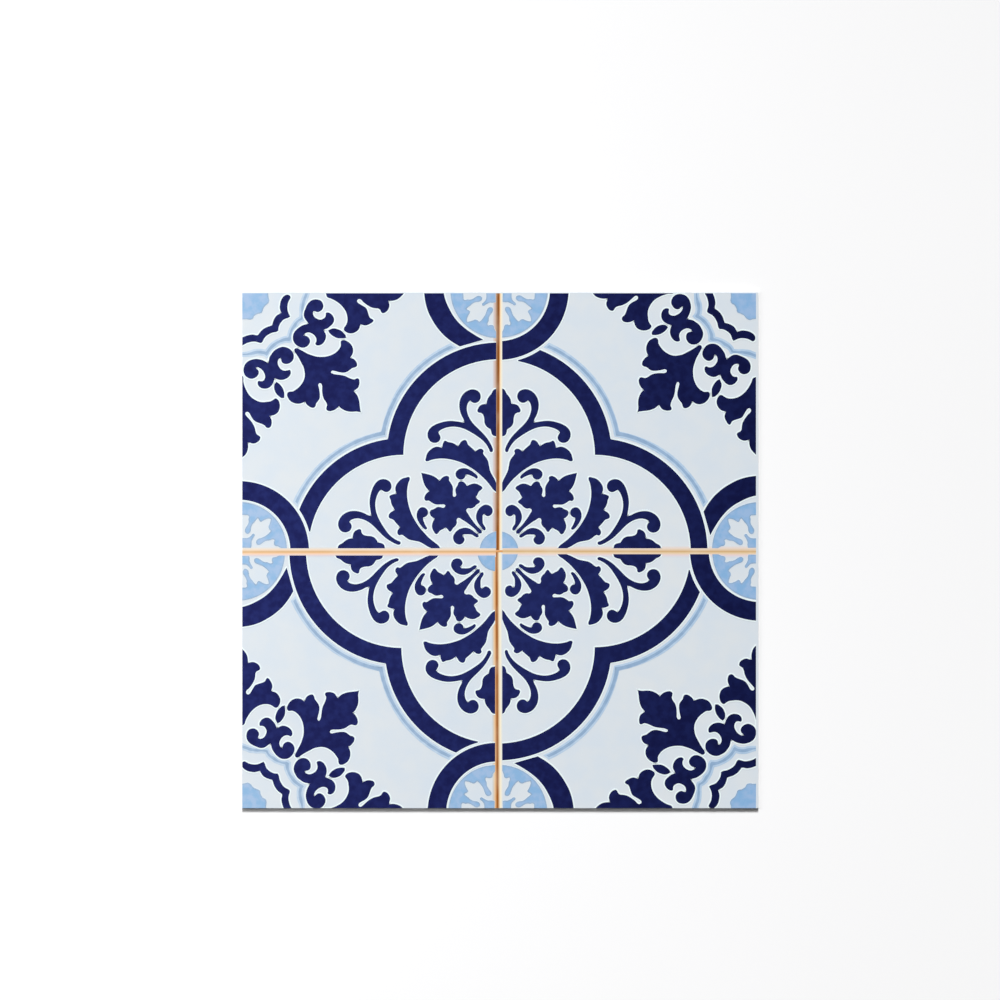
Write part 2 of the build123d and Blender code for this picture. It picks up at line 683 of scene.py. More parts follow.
def print_ink(name, ink, outlines, scene, thickness, ribbon=0.0, register=0.0):
    """Prints a cell's outlines four times, out of register to the right: filled, or as ribbons.

    A ribbon runs along an outline and reaches that far to either side of it.
    """
    maker, slot, edge = INKS[ink]
    material = bpy.data.materials.get(ink) or maker(ink, scene.print_colours)
    shape = cell_shape(outlines, edge, ribbon / UNIT)
    repeat_cell(shape)
    bmesh.ops.translate(shape, vec=(register / UNIT, 0.0, 0.0), verts=shape.verts)
    lay_on_face(shape, scene.print_sizes, thickness)
    make_piece(shape, name, material)


def print_thin_pale(name, outline, scene):
    """Prints a thin line in the greyer pale ink, with a lighter haze along both sides."""
    sizes = scene.print_sizes
    haze = [outline.spread(sizes.haze / UNIT)]
    core = [outline.spread(-sizes.haze_inset / UNIT)]
    print_ink(name + "_haze", "haze_print", haze, scene, sizes.pale_bed, register=sizes.register)
    print_ink(name, "slate_print", core, scene, sizes.pale_ink, register=sizes.register)


def print_pale(name, outlines, scene):
    """Prints wide outlines in pale blue ink, with white ink round them and a greyer rim."""
    sizes = scene.print_sizes
    print_ink(name + "_white_edge", "white_print", outlines, scene, sizes.pale_bed, sizes.pale_edge)
    print_ink(name, "pale_blue_print", outlines, scene, sizes.pale_ink)
    print_ink(name + "_rim", "slate_print", outlines, scene, sizes.pale_rim, sizes.rim_half)


def print_cobalt(name, outlines, scene):
    """Prints outlines in cobalt ink, with white ink that shows a little all round."""
    sizes = scene.print_sizes
    spread = [outline.spread(sizes.ink_spread / UNIT) for outline in outlines]
    print_ink(name + "_white_edge", "white_print", spread, scene, sizes.white_ink, sizes.white_edge)
    print_ink(name, "cobalt_print", spread, scene, sizes.cobalt_ink)


def meeting(distance, near_radius, far_radius):
    """Angles at which two circles that distance apart meet, seen from the near and the far centre."""
    along = (distance**2 + near_radius**2 - far_radius**2) / (2.0 * distance)
    aside = math.sqrt(near_radius**2 - along**2)
    return math.atan2(aside, along), math.atan2(aside, distance - along)


def cusp_angle(centre, radius):
    """Angle, about a lobe's middle, at which its circle crosses the cell's diagonal."""
    reach = (centre + math.sqrt(2.0 * radius**2 - centre**2)) / 2.0
    return math.atan2(reach, reach - centre)


def lobe_band(sizes, inner, outer, is_strap):
    """A band round the right and the upper lobe, between two radii in print units.

    It ends at the rings. The strap runs on under the right ring to the joint, and the upper ring cuts its
    other end round.
    """
    right = (sizes.lobe_centre / UNIT, 0.0)
    upper = (0.0, sizes.lobe_centre / UNIT)
    ring = (0.0, sizes.ring_centre / UNIT)
    gap = sizes.ring_gap / UNIT
    inner_end, inner_cut = meeting(ring[1] - upper[1], inner, gap)
    outer_end, outer_cut = meeting(ring[1] - upper[1], outer, gap)
    inner_cusp = cusp_angle(right[0], inner)
    outer_cusp = cusp_angle(right[0], outer)
    inner_start = math.asin(CELL_EDGE / inner) if is_strap else inner_end
    outer_start = math.asin(CELL_EDGE / outer) if is_strap else outer_end
    band = Outline().arc(right, inner, inner_start, inner_cusp)
    band.arc(upper, inner, QUARTER - inner_cusp, QUARTER - inner_end)
    if is_strap:
        band.arc(ring, gap, inner_cut - QUARTER, outer_cut - QUARTER)
    band.arc(upper, outer, QUARTER - outer_end, QUARTER - outer_cusp)
    return band.arc(right, outer, outer_cusp, outer_start)


def ring_band(sizes):
    """The right half of the upper ring, which lies over the lobes."""
    ring = (0.0, sizes.ring_centre / UNIT)
    inner = sizes.ring_inner / UNIT
    outer = sizes.ring_outer / UNIT
    return (
        Outline()
        .arc(ring, outer, math.asin(CELL_EDGE / outer) - QUARTER, 0.0)
        .arc(ring, inner, 0.0, math.asin(CELL_EDGE / inner) - QUARTER)
    )


# The upper half of the right ring, which passes under the right lobe and tapers
STRAP_TAIL = (
    Outline()
    .corner((82.2, 6.3), (79.7, 15.3))
    .smooth((82.0, 19.0), (84.9, 22.3), (90.0, 26.0), (95.0, 28.2))
    .corner((101.5, 29.3), (101.5, 21.8))
    .smooth((98.5, 21.3), (93.0, 18.9), (90.0, 16.9), (87.0, 13.9), (84.0, 9.6))
)

# The lobed leaf on the cell's diagonal, stem towards the middle
LEAF = (
    Outline()
    .corner((30.2, 30.2))
    .smooth((29.75, 28.1), (29.1, 26.0), (28.3, 24.6))
    .corner((27.05, 23.2))
    .smooth((28.1, 22.4), (28.85, 21.3), (29.0, 20.2), (28.5, 19.6), (27.5, 19.65), (26.2, 18.85))
    .smooth((24.8, 18.2), (22.4, 18.15), (21.2, 18.05), (20.85, 17.45), (21.6, 16.65), (22.8, 16.85))
    .smooth((24.0, 16.9), (25.4, 16.15), (26.7, 15.5), (26.85, 14.3), (26.2, 13.35))
    .corner((25.05, 12.55))
    .smooth((25.8, 11.0), (26.05, 9.3), (25.5, 7.8), (24.4, 6.65), (23.8, 7.1), (23.2, 7.85), (21.8, 8.6))
    .corner((20.8, 9.25))
    .smooth((20.0, 8.45), (19.15, 7.6), (18.6, 8.0), (18.1, 8.8), (17.1, 9.8), (16.6, 10.95))
    .smooth((16.65, 12.1), (16.0, 12.9), (14.2, 12.1), (11.5, 10.3), (9.52, 8.7), (8.3, 7.38), (7.6, 6.85))
    .corner((6.95, 6.95))
    .folded()
)

# The curl beside the leaf's stem
CURL = (
    Outline()
    .smooth((8.1, 5.65), (8.3, 6.2), (9.33, 7.0), (10.2, 7.68), (11.6, 8.5), (13.1, 8.85), (14.7, 8.6))
    .smooth((16.1, 7.9), (17.2, 6.75), (17.8, 5.5), (17.75, 4.5), (17.2, 3.4), (16.3, 2.75), (15.4, 2.6))
    .smooth((14.5, 2.9), (13.8, 3.7), (13.6, 4.45), (13.9, 5.15))
    .corner((14.5, 5.75))
    .smooth((14.0, 6.4), (12.9, 6.52), (11.5, 6.52), (10.4, 6.3), (9.3, 5.6), (8.6, 5.35))
)

# The comma between the leaf and the half acanthus
COMMA = (
    Outline()
    .smooth((27.85, 15.0), (28.05, 14.1), (28.75, 13.4))
    .corner((29.75, 13.05))
    .smooth((29.75, 12.2), (29.2, 10.6), (28.6, 9.4), (28.25, 8.8), (28.55, 8.45))
    .smooth((29.3, 8.7), (30.2, 9.65), (31.2, 11.1), (31.9, 12.6), (32.05, 13.8), (31.85, 15.1))
    .smooth((31.3, 16.1), (30.6, 16.7), (29.7, 16.85), (28.8, 16.55), (28.15, 15.9))
)

# The acanthus half that leans on the joint and sweeps up along the strap
HALF_ACANTHUS = (
    Outline()
    .corner((23.2, CELL_EDGE))
    .smooth((23.6, 1.85), (25.3, 3.2), (27.5, 5.0), (29.5, 7.1), (31.3, 9.25), (32.9, 11.7))
    .smooth((34.2, 14.1), (35.2, 16.9), (35.8, 19.5), (36.05, 22.0), (35.95, 24.2), (35.5, 26.5))
    .smooth((35.0, 28.1), (35.2, 28.55), (36.2, 28.45), (37.9, 27.9), (39.2, 26.8), (40.2, 25.2))
    .smooth((40.4, 23.9))
    .corner((39.9, 22.1))
    .smooth((41.1, 21.95), (42.0, 21.65), (42.65, 21.2), (42.25, 19.9), (41.95, 18.4), (41.4, 17.2))
    .corner((40.55, 16.0))
    .smooth((41.3, 15.45), (42.3, 14.8), (42.95, 13.8), (42.9, 13.0), (42.3, 12.6), (41.35, 12.25))
    .smooth((40.6, 11.45), (39.6, 10.3))
    .corner((38.5, 9.2))
    .smooth((39.2, 8.35), (39.6, 7.4), (39.4, 6.55), (38.85, 6.15), (38.0, 6.35), (37.2, 5.95))
    .smooth((36.2, 5.15), (35.0, 4.45), (33.0, 4.0), (31.0, 3.55), (29.4, 2.75), (27.8, 1.8))
    .corner((26.45, CELL_EDGE))
)

# The scroll that forks into a small and a large curl
FORKED_SCROLL = (
    Outline()
    .smooth((38.6, 2.85), (38.65, 3.35), (39.7, 3.85), (41.6, 5.0), (43.2, 6.45), (44.6, 8.3))
    .smooth((45.9, 10.3), (46.9, 12.1), (47.75, 14.0), (48.3, 16.2), (48.45, 18.2), (48.2, 20.1))
    .smooth((47.7, 21.7), (47.1, 22.9))
    .corner((46.2, 23.95))
    .smooth((45.4, 23.5), (44.2, 23.0), (43.1, 23.3), (42.35, 24.2), (42.15, 25.2), (42.5, 26.4))
    .smooth((43.5, 27.35), (45.0, 27.8), (46.5, 27.55), (47.9, 26.55), (49.0, 24.9), (49.8, 22.8))
    .smooth((50.3, 20.7), (50.45, 18.7), (50.3, 16.9), (50.05, 15.2))
    .corner((49.75, 13.4))
    .smooth((51.2, 13.75), (52.8, 14.55), (54.6, 15.15), (56.5, 15.4), (58.4, 15.2), (60.0, 14.55))
    .smooth((61.4, 13.45), (62.35, 12.0), (62.75, 10.5), (62.55, 9.2), (61.8, 7.95), (60.4, 7.3))
    .smooth((58.95, 7.55), (57.95, 8.5), (57.7, 9.6), (58.0, 10.5))
    .corner((58.7, 11.3))
    .smooth((57.9, 12.05), (56.7, 12.55), (55.1, 12.72), (53.6, 12.45), (51.9, 11.8), (50.2, 10.75))
    .smooth((48.8, 9.55), (47.4, 8.1), (45.9, 6.6), (44.3, 5.15), (42.3, 3.8), (40.2, 2.75), (39.2, 2.5))
)

# The crown half that leans on the joint under the large curl
HALF_CROWN = (
    Outline()
    .corner((44.75, CELL_EDGE))
    .smooth((44.95, 2.1), (45.6, 2.7), (46.4, 2.95))
    .corner((47.35, 3.1))
    .smooth((48.0, 4.2), (48.8, 5.05), (50.0, 5.55), (51.3, 5.65), (52.5, 5.9), (53.4, 6.4))
    .smooth((53.85, 7.2), (54.0, 8.0), (54.4, 8.3), (55.4, 8.05), (56.4, 7.35), (56.95, 6.2))
    .corner((57.05, 4.75))
    .smooth((58.1, 4.65), (59.1, 4.35), (60.2, 3.65), (61.1, 2.9), (62.2, 2.3), (62.75, 1.75))
    .corner((62.85, CELL_EDGE))
)

# The palmette on the diagonal outside the strap, with a slot on each side
CORNER_PALMETTE = (
    Outline()
    .corner((54.1, 54.2))
    .smooth((56.2, 54.5), (58.0, 54.7), (59.5, 55.1), (60.7, 55.65))
    .corner((62.2, 56.95))
    .smooth((62.8, 56.2), (63.6, 55.2), (64.7, 54.75), (65.9, 54.65), (66.9, 54.95), (67.05, 55.5))
    .smooth((66.65, 56.4), (66.75, 57.3), (67.3, 58.8), (67.95, 60.2), (68.3, 61.6), (68.5, 63.2))
    .smooth((68.85, 64.9), (69.6, 65.85), (70.25, 65.2), (70.15, 64.2), (69.75, 62.6), (69.5, 61.1))
    .smooth((69.75, 59.6), (70.5, 58.4), (71.3, 57.3), (71.55, 56.4), (72.0, 55.7), (72.7, 55.6))
    .smooth((73.7, 56.0), (74.6, 56.9))
    .corner((75.05, 58.3))
    .smooth((75.5, 58.1), (76.5, 57.45), (78.0, 57.12), (79.6, 57.5), (80.8, 58.4), (81.6, 59.6))
    .smooth((81.95, 60.8), (81.5, 61.65), (80.9, 61.72), (79.9, 61.7), (78.7, 62.25), (77.3, 63.5))
    .smooth((76.3, 65.1), (75.65, 67.0), (75.4, 69.0), (75.5, 71.2), (76.0, 73.0), (76.6, 74.7))
    .smooth((77.5, 76.4), (78.3, 77.9), (78.8, 79.1), (78.4, 79.8), (77.6, 79.75), (76.6, 79.05))
    .smooth((75.0, 78.05), (73.2, 77.1), (71.5, 76.25), (70.0, 75.9), (68.5, 75.75), (66.8, 76.05))
    .smooth((65.2, 76.85), (63.8, 77.95), (62.7, 79.3), (61.95, 80.6), (61.85, 81.7), (61.5, 82.45))
    .smooth((60.7, 82.68), (59.5, 82.25), (58.4, 81.4), (57.65, 80.0), (57.4, 78.6), (57.55, 77.4))
    .corner((58.25, 75.75))
    .smooth((57.3, 75.2), (56.45, 74.3), (55.9, 73.3), (55.9, 72.3), (56.5, 71.8), (57.4, 71.55))
    .smooth((58.3, 70.9), (59.2, 70.3), (60.4, 70.12), (61.9, 70.22), (63.5, 70.5), (64.6, 70.72))
    .smooth((65.35, 70.3), (65.3, 69.55), (64.5, 69.05), (63.1, 69.0), (61.7, 68.95), (60.2, 68.7))
    .smooth((59.0, 68.2), (57.9, 67.45), (56.8, 67.08), (55.9, 67.28), (55.1, 67.3), (54.55, 66.5))
    .smooth((54.6, 65.4), (55.05, 64.2), (55.8, 63.2))
    .corner((56.6, 62.55))
    .smooth((55.8, 61.9), (54.95, 60.6), (54.4, 59.0), (54.27, 57.2), (54.35, 55.6))
)

# The double scroll to the right of the corner palmette
RIGHT_SCROLL = (
    Outline()
    .smooth((79.23, 76.9), (79.6, 78.1), (80.4, 79.3), (81.6, 80.15), (83.0, 80.42), (84.4, 80.2))
    .smooth((85.8, 79.3), (86.95, 77.95), (87.75, 76.6), (88.15, 75.2))
    .corner((88.5, 74.2))
    .smooth((89.4, 74.95), (90.3, 75.6), (91.2, 76.05), (92.5, 76.12), (94.1, 75.6), (95.8, 74.8))
    .smooth((97.0, 73.8), (97.7, 72.4), (97.75, 71.0), (97.2, 69.6), (95.9, 68.85), (94.5, 68.95))
    .smooth((93.45, 69.9), (93.1, 70.9), (93.4, 71.9))
    .corner((93.45, 72.7))
    .smooth((92.3, 72.8), (91.1, 72.3), (90.3, 71.2), (89.9, 69.8), (90.3, 68.6), (91.0, 67.8))
    .smooth((91.9, 67.55), (92.5, 67.5), (92.7, 66.9), (92.1, 65.65), (91.1, 64.85), (90.0, 64.56))
    .smooth((88.8, 64.9), (87.6, 66.0), (86.7, 67.2), (86.4, 68.0))
    .corner((86.0, 68.7))
    .smooth((85.2, 68.3), (84.2, 67.8), (83.2, 67.75), (81.95, 68.15), (80.7, 69.1), (80.15, 70.2))
    .smooth((80.25, 71.3), (80.75, 71.6), (81.4, 71.3), (82.5, 71.25), (83.7, 71.8), (84.7, 73.0))
    .smooth((85.15, 74.3), (84.95, 75.4), (84.5, 76.1))
    .corner((83.8, 76.65))
    .smooth((83.65, 75.9), (83.4, 75.05), (82.6, 74.25), (81.6, 73.97), (80.4, 74.45), (79.5, 75.5))
)

# The double scroll above the corner palmette
UPPER_SCROLL = (
    Outline()
    .smooth((67.13, 96.6), (67.5, 98.0), (68.4, 99.1), (69.7, 99.65), (71.2, 99.62), (72.7, 99.0))
    .smooth((73.7, 97.95), (74.35, 96.4), (74.6, 94.9), (74.4, 93.4), (73.95, 92.0), (73.4, 90.95))
    .corner((72.9, 90.0))
    .smooth((74.2, 89.8), (75.4, 89.5), (76.6, 88.75), (77.8, 87.8), (78.7, 86.4), (79.25, 85.0))
    .smooth((79.25, 83.7), (78.75, 82.3), (78.05, 81.35), (77.0, 80.57), (75.75, 80.3), (74.4, 80.6))
    .smooth((73.3, 81.7), (72.9, 83.0), (73.15, 84.25), (73.8, 84.85), (74.6, 85.0))
    .corner((75.4, 85.15))
    .smooth((74.95, 85.95), (74.1, 86.45), (73.2, 86.6), (71.6, 86.05), (70.4, 84.95), (70.0, 83.6))
    .smooth((70.2, 82.5), (70.25, 81.8), (69.4, 81.48), (68.3, 81.85), (67.4, 82.8), (66.8, 84.1))
    .smooth((66.67, 85.4), (66.9, 86.6))
    .corner((67.4, 87.75))
    .smooth((66.4, 88.0), (65.3, 88.45), (64.1, 89.3), (63.4, 90.5), (63.27, 91.7), (63.6, 93.0))
    .smooth((64.3, 93.85), (65.3, 94.17), (65.98, 93.9), (65.9, 92.9), (66.2, 91.95), (67.1, 91.4))
    .smooth((68.0, 91.27), (69.3, 91.65), (70.5, 92.45), (71.3, 93.5), (71.65, 94.5))
    .corner((71.55, 95.35))
    .smooth((70.8, 94.8), (70.2, 94.2), (69.4, 94.0), (68.4, 94.35), (67.5, 95.4))
)

# The bud between the corner palmette and the right edge palmette
RIGHT_BUD = (
    Outline()
    .corner((83.0, 59.9))
    .smooth((83.9, 60.1), (84.6, 60.65), (85.5, 61.6), (86.2, 63.1), (86.5, 64.6), (86.3, 65.5))
    .corner((85.75, 66.55))
    .smooth((85.0, 66.2), (84.2, 65.4), (83.4, 64.2), (82.95, 63.0), (82.87, 61.6))
)

# The bud between the corner palmette and the upper edge palmette
UPPER_BUD = (
    Outline()
    .corner((59.65, 84.1))
    .smooth((60.4, 84.0), (61.7, 84.1), (62.9, 84.45), (64.0, 85.1), (65.0, 86.0))
    .corner((65.6, 86.9))
    .smooth((64.9, 87.55), (63.7, 87.77), (62.4, 87.5), (61.1, 86.8), (60.1, 85.7), (59.6, 84.9))
)

# The palmette that the right edge of the tile cuts in half
RIGHT_EDGE_PALMETTE = (
    Outline()
    .corner((102.0, 67.9))
    .smooth((99.6, 67.35), (98.95, 67.05), (98.25, 65.4), (97.4, 63.8), (96.2, 62.1), (94.9, 60.85))
    .smooth((93.6, 59.95), (92.1, 59.35), (90.4, 59.1), (88.9, 59.25), (87.6, 59.85), (86.8, 60.4))
    .smooth((86.1, 60.45), (85.3, 59.65), (84.85, 58.5), (84.85, 57.2), (85.2, 56.3), (85.8, 55.4))
    .smooth((86.7, 54.7), (87.7, 54.42))
    .corner((88.5, 54.2))
    .smooth((88.1, 53.3), (87.88, 52.3), (88.1, 51.3), (88.6, 50.3), (89.2, 49.45), (89.7, 49.2))
    .smooth((90.15, 49.6), (90.5, 50.3), (91.2, 50.8), (92.2, 51.15), (93.3, 51.5), (94.4, 52.0))
    .smooth((95.2, 53.1), (95.9, 54.3), (96.7, 55.35), (97.4, 55.6), (98.15, 54.85), (97.95, 53.9))
    .smooth((97.0, 53.0), (96.1, 51.85), (95.3, 50.6), (94.8, 49.5), (94.57, 48.1), (94.45, 47.1))
    .smooth((93.9, 46.35), (93.1, 45.95), (92.7, 45.5), (92.8, 44.8), (93.4, 43.9), (94.4, 43.25))
    .smooth((95.4, 42.97), (96.4, 43.1))
    .corner((97.5, 43.45))
    .smooth((97.45, 42.4), (97.55, 41.3), (97.95, 40.0), (98.7, 38.85), (99.5, 38.0), (100.2, 37.4))
    .corner((102.0, 36.6))
)

# The palmette that the upper edge of the tile cuts in half
UPPER_EDGE_PALMETTE = (
    Outline()
    .corner((35.5, 101.8))
    .smooth((36.85, 99.9), (37.5, 99.2), (38.4, 98.65), (39.6, 98.27), (40.9, 98.13))
    .corner((42.3, 98.35))
    .smooth((42.2, 97.3), (41.9, 96.3), (41.95, 95.5), (42.35, 94.6), (43.0, 93.8), (43.7, 93.45))
    .smooth((44.35, 93.45), (44.8, 94.0), (45.3, 94.7), (46.2, 95.15), (47.7, 95.5), (48.9, 96.0))
    .smooth((50.2, 96.8), (51.3, 97.75), (52.3, 98.65), (53.1, 99.2), (53.85, 99.15), (54.25, 98.4))
    .smooth((53.9, 97.65), (52.9, 97.0), (51.7, 96.35), (50.85, 95.6), (50.3, 94.8), (49.85, 93.6))
    .smooth((49.4, 92.4), (48.9, 91.5), (48.2, 90.9), (47.95, 90.2), (48.4, 89.35), (49.4, 88.98))
    .smooth((50.5, 88.95), (51.4, 89.2))
    .corner((52.6, 89.85))
    .smooth((52.8, 88.6), (53.2, 87.5), (53.9, 86.6), (54.9, 86.03), (56.3, 85.75), (57.7, 85.95))
    .smooth((58.75, 86.5), (59.2, 87.3), (58.6, 88.3), (58.1, 89.3), (57.9, 90.7), (57.77, 92.1))
    .smooth((58.0, 93.8), (58.6, 95.2), (59.5, 96.6), (60.8, 97.85), (62.4, 98.8), (64.0, 99.5))
    .smooth((65.6, 99.95), (68.0, 100.4))
    .corner((68.0, 102.0))
)

# The cobalt scalloped line round the corner of the tile
DARK_SCALLOPS = (
    Outline()
    .corner((79.6, 101.5))
    .smooth((80.3, 99.9), (80.95, 98.7), (81.35, 97.4), (81.58, 96.1), (81.5, 94.8), (81.2, 93.8))
    .smooth((81.1, 93.0), (81.6, 92.45), (82.7, 91.9), (83.65, 91.1), (84.4, 90.0), (84.95, 88.9))
    .smooth((85.2, 88.0), (85.4, 87.0))
    .corner((85.8, 86.35))
    .smooth((87.0, 86.25), (88.2, 85.8), (89.3, 85.05), (90.1, 84.25), (90.55, 83.3), (90.85, 82.4))
    .corner((91.3, 81.75))
    .smooth((92.3, 82.25), (93.4, 82.65), (94.5, 82.8), (95.8, 82.7), (97.0, 82.4), (97.9, 81.95))
    .smooth((98.7, 81.6), (99.35, 81.95), (99.6, 82.9), (99.2, 83.85), (98.2, 84.7), (97.1, 85.2))
    .smooth((96.0, 85.42), (94.8, 85.55), (93.7, 85.35))
    .corner((92.65, 84.95))
    .smooth((92.1, 85.9), (91.4, 86.95), (90.5, 87.6), (89.4, 88.1))
    .corner((87.75, 88.55))
    .smooth((87.4, 89.5), (87.05, 90.6), (86.4, 91.8), (85.5, 92.9))
    .corner((83.9, 94.1))
    .smooth((83.85, 94.9), (84.08, 96.0), (84.0, 97.2), (83.65, 98.6), (83.15, 99.85))
    .corner((82.5, 101.5))
)

# The pale scalloped line between the scrolls and the cobalt scallops
PALE_SCALLOPS = (
    Outline()
    .corner((75.9, 101.5))
    .smooth((75.95, 97.3), (76.1, 96.2), (76.45, 94.6), (76.4, 93.2), (76.1, 92.1))
    .corner((75.4, 91.2))
    .smooth((76.2, 90.4), (77.4, 89.75), (78.6, 88.7), (79.7, 87.4), (80.6, 86.2), (81.1, 84.9))
    .smooth((81.4, 83.6))
    .corner((81.3, 82.0))
    .smooth((82.2, 81.4), (83.5, 81.2), (84.8, 81.1), (86.0, 80.5), (87.3, 79.4), (88.5, 78.8))
    .smooth((89.3, 78.0))
    .corner((89.8, 76.9))
    .smooth((91.0, 76.6), (92.5, 76.6), (93.9, 76.4), (95.5, 76.15), (97.0, 75.8), (98.9, 75.15))
    .corner((101.0, 74.4), (101.3, 76.2))
    .smooth((98.4, 77.15), (97.2, 77.65), (95.5, 77.9), (94.0, 78.03), (92.2, 77.95))
    .corner((90.9, 78.1))
    .smooth((90.4, 79.0), (89.6, 80.0), (88.4, 80.9), (87.2, 81.65), (86.0, 82.2), (84.6, 82.65))
    .corner((83.4, 83.0))
    .smooth((83.2, 84.2), (82.7, 85.6), (81.9, 87.3), (81.0, 88.8), (79.9, 90.0), (78.8, 90.85))
    .corner((77.9, 91.55))
    .smooth((78.2, 92.8), (78.3, 94.4), (78.1, 96.1), (77.6, 97.6), (77.2, 98.8))
    .corner((77.0, 101.5))
)

# The pale scalloped quarter in the corner of the tile
CORNER_FAN = (
    Outline()
    .corner((90.2, 101.5))
    .smooth((90.4, 98.6), (90.25, 97.2), (90.7, 96.25), (91.5, 95.85), (92.1, 95.1), (92.6, 94.1))
    .smooth((92.7, 93.3))
    .corner((93.0, 92.75))
    .smooth((94.0, 92.4), (94.9, 92.0))
    .corner((95.6, 91.5))
    .smooth((96.1, 90.8), (96.8, 90.2), (97.5, 89.95), (98.7, 90.25))
    .corner((101.5, 90.4), (101.5, 101.5))
)

# The pale lump in the middle of the right medallion
MEDALLION_LUMP = (
    Outline()
    .corner((97.0, 1.4))
    .smooth((96.85, 2.6), (96.9, 3.4), (96.6, 4.3), (96.1, 5.3), (95.65, 6.2), (96.0, 6.45))
    .smooth((96.7, 5.8), (97.5, 5.1), (98.4, 4.8))
    .corner((101.5, 4.9), (101.5, 1.5))
)


def medallion_ground(sizes):
    """The pale ground of the right medallion, with the acanthus left white."""
    raised = 0.5
    middle = (sizes.ring_centre / UNIT, raised)
    return (
        Outline()
        .arc(middle, sizes.medallion / UNIT, 2.0 * QUARTER, QUARTER)
        .corner((101.5, 14.2))
        .smooth((99.0, 14.1), (97.9, 13.95), (97.5, 13.3), (97.7, 12.3), (97.6, 11.4), (97.9, 10.3))
        .smooth((98.5, 9.3), (99.05, 8.3), (99.0, 7.4), (98.4, 6.8), (97.6, 7.15), (97.2, 8.0))
        .smooth((97.05, 9.2), (96.5, 10.4), (95.7, 11.3), (95.0, 12.2))
        .corner((94.3, 12.95))
        .smooth((93.75, 12.5), (93.5, 11.9))
        .corner((93.05, 11.45))
        .smooth((92.0, 12.05), (90.9, 12.55), (89.8, 12.75))
        .corner((88.95, 12.5))
        .smooth((89.1, 11.5), (89.5, 10.2), (89.85, 9.3), (89.6, 8.5), (89.05, 7.8), (89.5, 7.0))
        .smooth((90.6, 6.05), (91.7, 5.3), (93.1, 4.75), (94.3, 4.2), (94.7, 3.3), (94.2, 2.55))
        .smooth((93.3, 2.7), (92.2, 3.45), (91.0, 4.1), (89.6, 4.3), (88.4, 4.7), (87.6, 4.3))
        .smooth((87.8, 3.2), (87.5, 2.3), (86.4, 2.0), (85.2, 1.35))
        .corner((83.8, 0.9), (82.9, 0.0))
    )


def centre_disc(sizes):
    """A quarter of the pale disc in the middle of the print."""
    return Outline().arc((0.0, 0.0), sizes.centre_disc / UNIT, 0.0, QUARTER).corner((0.0, 0.0))


def with_mirror(*outlines):
    """Outlines of one half of the cell, and of the other half."""
    return [*outlines, *(outline.mirrored() for outline in outlines)]


class VINYL_TILE_OT_dress_sheet(bpy.types.Operator):
    """Give the vinyl sheet its printed ground, its cut edge and its release paper"""

    bl_idname = "vinyl_tile.dress_sheet"
    bl_label = "Dress the Sheet"

    def execute(self, context):
        material = sheet_finish(context.scene.print_colours)
        SHEET.data.materials.clear()
        SHEET.data.materials.append(material)
        return {"FINISHED"}


class VINYL_TILE_OT_print_strap(bpy.types.Operator):
    """Print the cobalt strap that runs round the lobes and the rings"""

    bl_idname = "vinyl_tile.print_strap"
    bl_label = "Print the Strap"

    def execute(self, context):
        sizes = context.scene.print_sizes
        band = lobe_band(sizes, sizes.strap_inner / UNIT, sizes.strap_outer / UNIT, True)
        print_cobalt("strap", [band, ring_band(sizes), STRAP_TAIL], context.scene)
        return {"FINISHED"}


class VINYL_TILE_OT_print_pale_line(bpy.types.Operator):
    """Print the pale line beside the strap"""

    bl_idname = "vinyl_tile.print_pale_line"
    bl_label = "Print the Pale Line"

    def execute(self, context):
        sizes = context.scene.print_sizes
        line = lobe_band(sizes, sizes.line_inner / UNIT, sizes.line_outer / UNIT, False)
        print_thin_pale("pale_line", line, context.scene)
        return {"FINISHED"}


class VINYL_TILE_OT_print_inner_sprays(bpy.types.Operator):
    """Print the leaves, curls and scrolls inside the quatrefoil"""

    bl_idname = "vinyl_tile.print_inner_sprays"
    bl_label = "Print the Inner Sprays"

    def execute(self, context):
        pairs = with_mirror(CURL, COMMA, HALF_ACANTHUS, FORKED_SCROLL, HALF_CROWN)
        print_cobalt("inner_sprays", [LEAF, *pairs], context.scene)
        return {"FINISHED"}


class VINYL_TILE_OT_print_corner_sprays(bpy.types.Operator):
    """Print the palmettes, scrolls, buds and scallops outside the quatrefoil"""

    bl_idname = "vinyl_tile.print_corner_sprays"
    bl_label = "Print the Corner Sprays"

    def execute(self, context):
        motifs = [CORNER_PALMETTE, RIGHT_SCROLL, UPPER_SCROLL, RIGHT_BUD, UPPER_BUD]
        motifs += [RIGHT_EDGE_PALMETTE, UPPER_EDGE_PALMETTE, DARK_SCALLOPS]
        print_cobalt("corner_sprays", motifs, context.scene)
        return {"FINISHED"}


class VINYL_TILE_OT_print_medallions(bpy.types.Operator):
    """Print the pale medallions in the rings and the disc in the middle"""

    bl_idname = "vinyl_tile.print_medallions"
    bl_label = "Print the Medallions"

    def execute(self, context):
        sizes = context.scene.print_sizes
        halves = with_mirror(medallion_ground(sizes), MEDALLION_LUMP)
        print_pale("medallions", [centre_disc(sizes), *halves], context.scene)
        return {"FINISHED"}


class VINYL_TILE_OT_print_corner_fans(bpy.types.Operator):
    """Print the pale fans and scallops in the corners"""

    bl_idname = "vinyl_tile.print_corner_fans"
    bl_label = "Print the Corner Fans"

    def execute(self, context):
        print_pale("corner_fans", [CORNER_FAN], context.scene)
        print_thin_pale("pale_scallops", PALE_SCALLOPS, context.scene)
        return {"FINISHED"}


